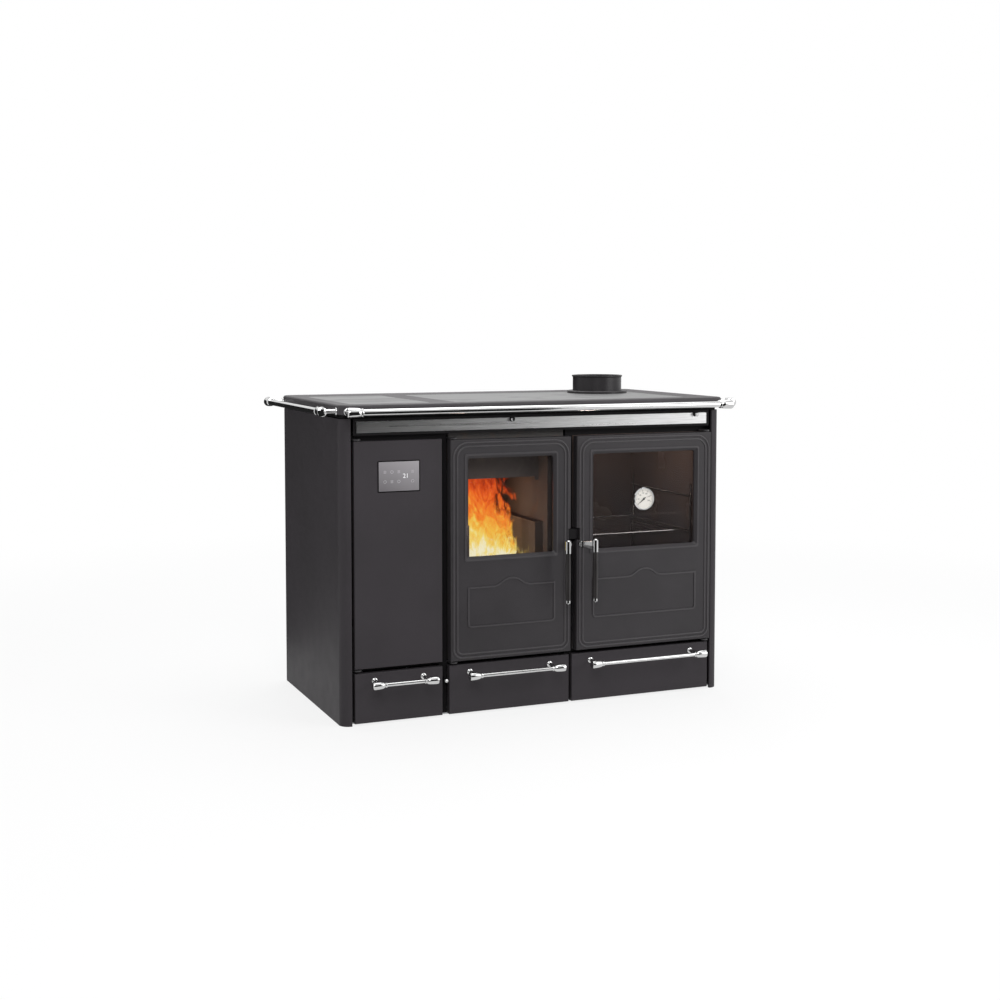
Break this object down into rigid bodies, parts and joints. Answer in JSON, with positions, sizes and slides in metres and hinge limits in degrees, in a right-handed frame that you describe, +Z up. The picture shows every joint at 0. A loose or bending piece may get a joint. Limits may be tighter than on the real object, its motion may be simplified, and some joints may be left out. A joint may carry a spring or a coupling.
{
  "type": "wood-burning boiler stove",
  "caption": "Wood-burning kitchen cooker with a water jacket, glazed firebox and oven doors, drawers, technical compartment and guard rails.",
  "frame": {"origin": "on the floor below the middle of the casing, rails left out", "axes": "+X to the right as seen from the front, +Y from the front to the back, +Z up"},
  "size_m": [1.273, 0.6935, 0.915],
  "materials": {
    "charcoal_paint": "satin",
    "black_paint": "satin",
    "door_iron": "matt",
    "top_iron": "satin",
    "plate_iron": "satin",
    "flue_enamel": "satin",
    "chrome": "polished",
    "brushed_band": "brushed",
    "grip_black": "satin",
    "fire_glass": "polished",
    "display_face": "gloss",
    "rope_seal": "matt",
    "fireclay": "matt",
    "grate_iron": "matt",
    "zinc_sheet": "satin",
    "oven_enamel": "gloss",
    "boiler_steel": "matt",
    "wire_chrome": "polished",
    "vessel_red": "satin",
    "pump_paint": "satin",
    "pipe_steel": "satin",
    "brass": "satin",
    "box_plastic": "matt",
    "inlet_plastic": "matt",
    "dial_face": "matt",
    "needle_black": "matt"
  },
  "bodies": {
    "stove": {"base_plate": "zinc_sheet", "levelling_screws": "zinc_sheet", "side_panel_left": "charcoal_paint", "side_panel_right": "charcoal_paint", "back_panel": "black_paint", "casing_frame": "black_paint", "inner_partitions": "zinc_sheet", "fascia": "black_paint", "steel_band": "brushed_band", "worktop_frame": "top_iron", "warming_plate": "plate_iron", "cooking_plate": "plate_iron", "flue_collar": "flue_enamel", "guard_rails": "chrome", "rail_fittings": "chrome", "door_hinges": "zinc_sheet", "latch_strike": "black_paint", "drawer_runners": "zinc_sheet", "boiler_jacket": "boiler_steel", "firebrick_lining": "fireclay", "fire_grate": "grate_iron", "smoke_baffle": "grate_iron", "ash_pan": "zinc_sheet", "oven_liner": "oven_enamel", "oven_runners": "wire_chrome", "oven_rack": "wire_chrome", "baking_tray": "oven_enamel", "expansion_vessel": "vessel_red", "circulation_pump": "pump_paint", "pipework": "pipe_steel", "control_box": "box_plastic", "water_connections": "brass", "mains_inlet": "inlet_plastic"},
    "technical_door": {"tech_door_panel": "charcoal_paint", "touch_display": "display_face"},
    "firebox_door": {"firebox_door_casting": "door_iron", "firebox_door_glass": "fire_glass", "firebox_door_gasket": "rope_seal"},
    "firebox_lever": {"firebox_door_lever": "chrome", "firebox_lever_grip": "grip_black"},
    "oven_door": {"oven_door_casting": "door_iron", "oven_door_glass": "fire_glass", "oven_door_gasket": "rope_seal", "thermometer_case": "chrome", "thermometer_dial": "dial_face"},
    "oven_lever": {"oven_door_lever": "chrome", "oven_lever_grip": "grip_black"},
    "needle": {"thermometer_needle": "needle_black"},
    "left_drawer": {"drawer_left_front": "charcoal_paint", "drawer_left_tray": "zinc_sheet", "drawer_left_handle": "chrome"},
    "middle_drawer": {"drawer_middle_front": "charcoal_paint", "drawer_middle_tray": "zinc_sheet", "drawer_middle_handle": "chrome"},
    "right_drawer": {"drawer_right_front": "charcoal_paint", "drawer_right_tray": "zinc_sheet", "drawer_right_handle": "chrome"},
    "smoke_damper": {"smoke_damper_rod": "chrome"},
    "secondary_air": {"secondary_air_rod": "chrome"},
    "primary_air": {"primary_air_rod": "chrome"}
  },
  "joints": [
    {"name": "technical_door_hinge", "type": "hinge", "parent": "stove", "child": "technical_door", "pos_m": [-0.5305, -0.281, 0.455], "axis": [0, 0, -1], "range_deg": [0, 110]},
    {"name": "firebox_door_hinge", "type": "hinge", "parent": "stove", "child": "firebox_door", "pos_m": [-0.2595, -0.29, 0.455], "axis": [0, 0, -1], "range_deg": [0, 110]},
    {"name": "oven_door_hinge", "type": "hinge", "parent": "stove", "child": "oven_door", "pos_m": [0.5285, -0.29, 0.455], "axis": [0, 0, 1], "range_deg": [0, 110]},
    {"name": "firebox_lever_turn", "type": "hinge", "parent": "firebox_door", "child": "firebox_lever", "pos_m": [0.0775, -0.306, 0.456], "axis": [0, 1, 0], "range_deg": [0, 65]},
    {"name": "oven_lever_turn", "type": "hinge", "parent": "oven_door", "child": "oven_lever", "pos_m": [0.1195, -0.306, 0.456], "axis": [0, -1, 0], "range_deg": [0, 65]},
    {"name": "needle_turn", "type": "hinge", "parent": "oven_door", "child": "needle", "pos_m": [0.324, -0.2954, 0.572], "axis": [0, 1, 0], "range_deg": [0, 260], "stiffness_Nm_per_rad": 0.001},
    {"name": "left_drawer_slide", "type": "slide", "parent": "stove", "child": "left_drawer", "axis": [0, -1, 0], "range_m": [0, 0.38]},
    {"name": "middle_drawer_slide", "type": "slide", "parent": "stove", "child": "middle_drawer", "axis": [0, -1, 0], "range_m": [0, 0.38]},
    {"name": "right_drawer_slide", "type": "slide", "parent": "stove", "child": "right_drawer", "axis": [0, -1, 0], "range_m": [0, 0.38]},
    {"name": "smoke_damper_slide", "type": "slide", "parent": "stove", "child": "smoke_damper", "axis": [0, -1, 0], "range_m": [0, 0.06]},
    {"name": "secondary_air_slide", "type": "slide", "parent": "stove", "child": "secondary_air", "axis": [0, -1, 0], "range_m": [0, 0.04]},
    {"name": "primary_air_slide", "type": "slide", "parent": "stove", "child": "primary_air", "axis": [0, -1, 0], "range_m": [0, 0.03]}
  ]
}
